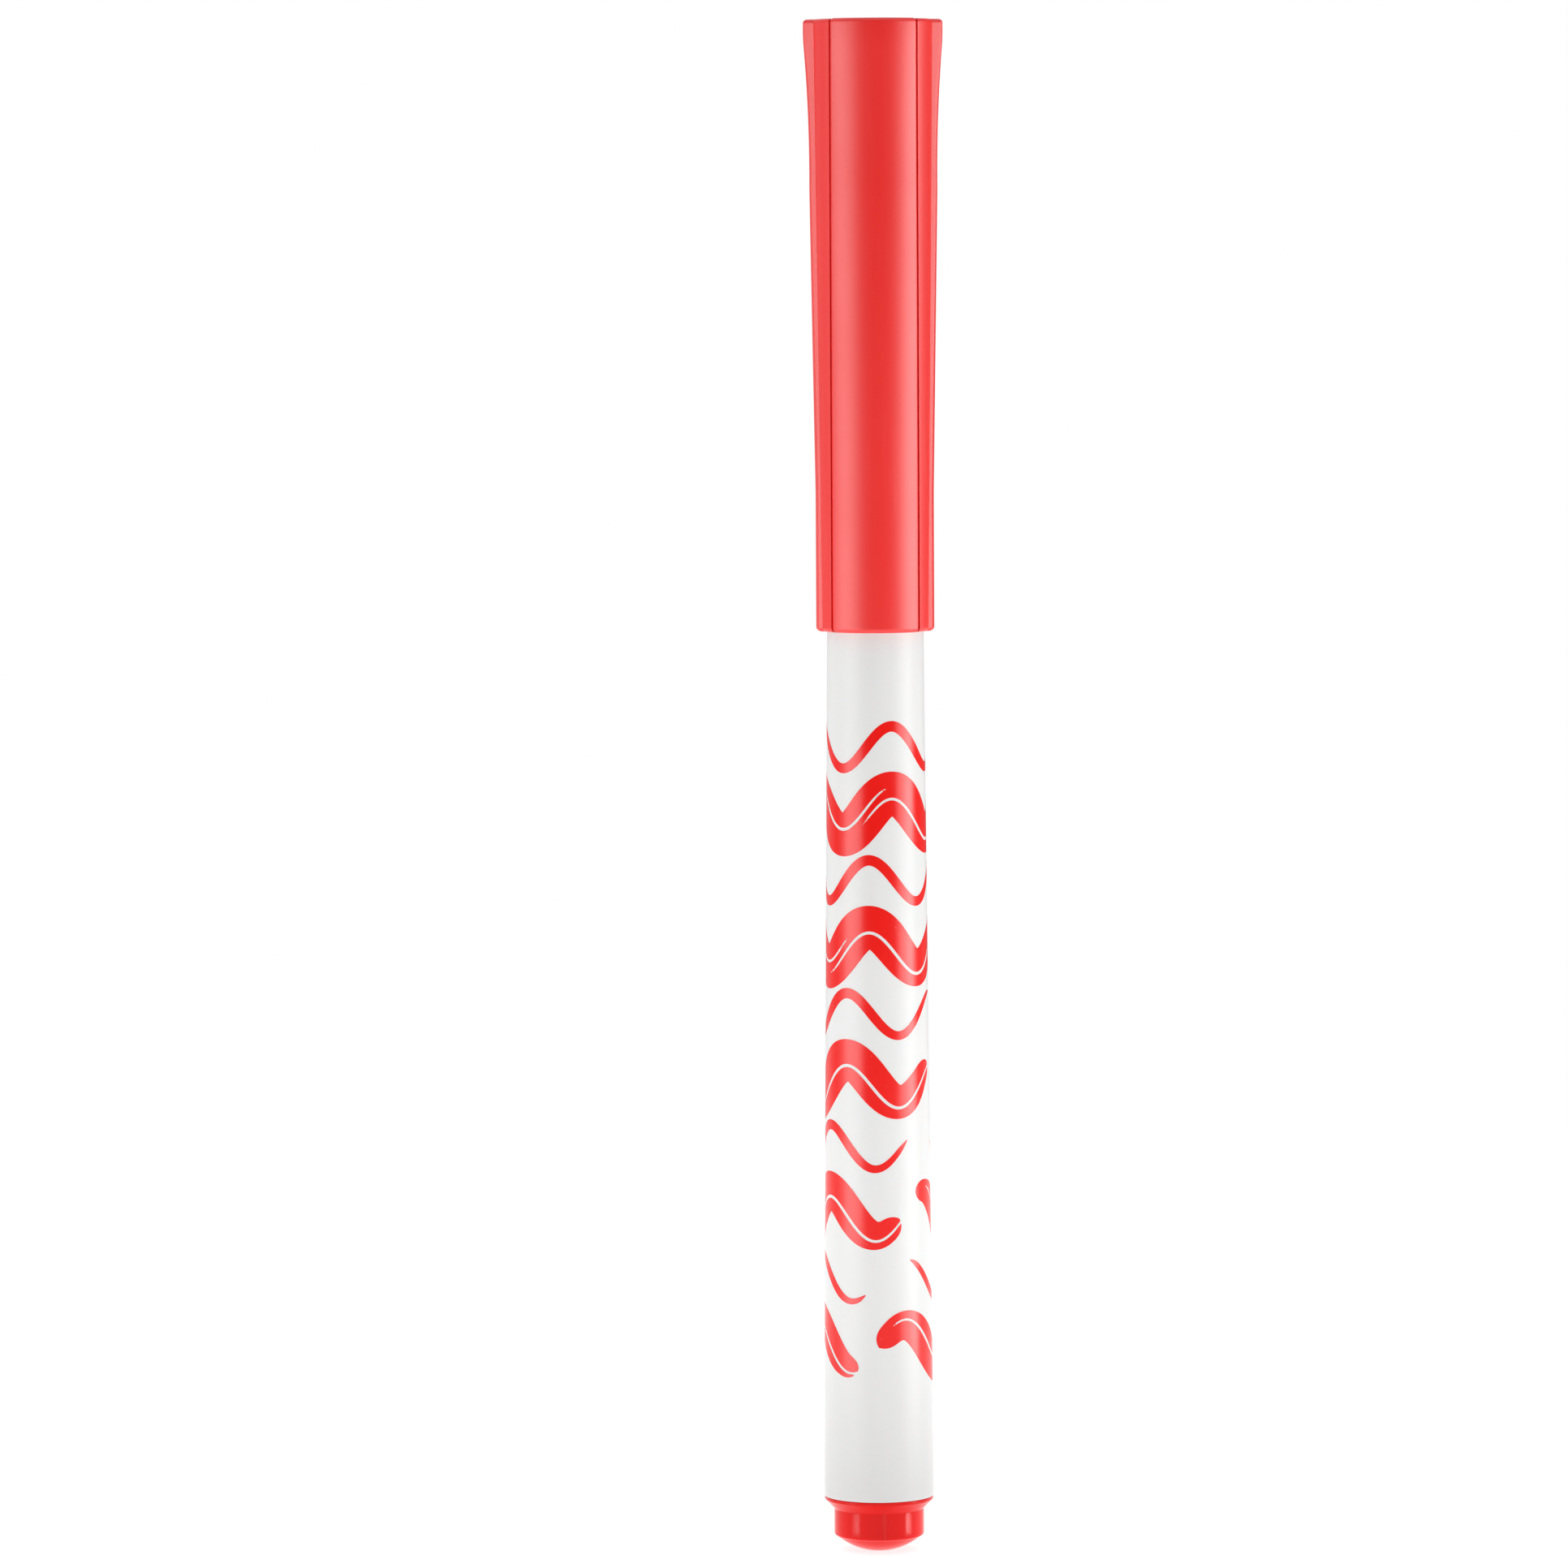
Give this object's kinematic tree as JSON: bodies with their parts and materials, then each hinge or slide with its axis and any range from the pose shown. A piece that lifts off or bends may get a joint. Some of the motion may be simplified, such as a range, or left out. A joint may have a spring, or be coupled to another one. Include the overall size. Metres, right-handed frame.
{
  "type": "felt tip marker",
  "caption": "Slim felt tip marker with a tapered round barrel, brush-shaped fibre nib, domed end plug and a long push-on cap that widens to its rim.",
  "frame": {"origin": "middle of the flat land on the end plug's crown, where the marker stands", "axes": "+Z along the marker towards the cap's closed end, -Y towards the viewer and out of the middle of one broad panel of the cap"},
  "size_m": [0.0132, 0.0127, 0.145],
  "materials": {
    "white_plastic": "smooth moulded, soft gloss",
    "red_cap_plastic": "semi-gloss moulded",
    "red_plug_plastic": "gloss moulded",
    "inked_fibre": "bonded fibre soaked with red ink",
    "ink_filler": "fibre filler soaked with red ink",
    "clear_film": "thin wound film"
  },
  "bodies": {
    "pen": {"barrel": "white_plastic", "end_plug": "red_plug_plastic", "nib": "inked_fibre", "reservoir_core": "ink_filler", "reservoir_film": "clear_film"},
    "cap": {"cap": "red_cap_plastic"}
  },
  "joints": [
    {"name": "cap_slide", "type": "slide", "parent": "pen", "child": "cap", "axis": [0, 0, 1], "range_m": [0, 0.07]}
  ]
}
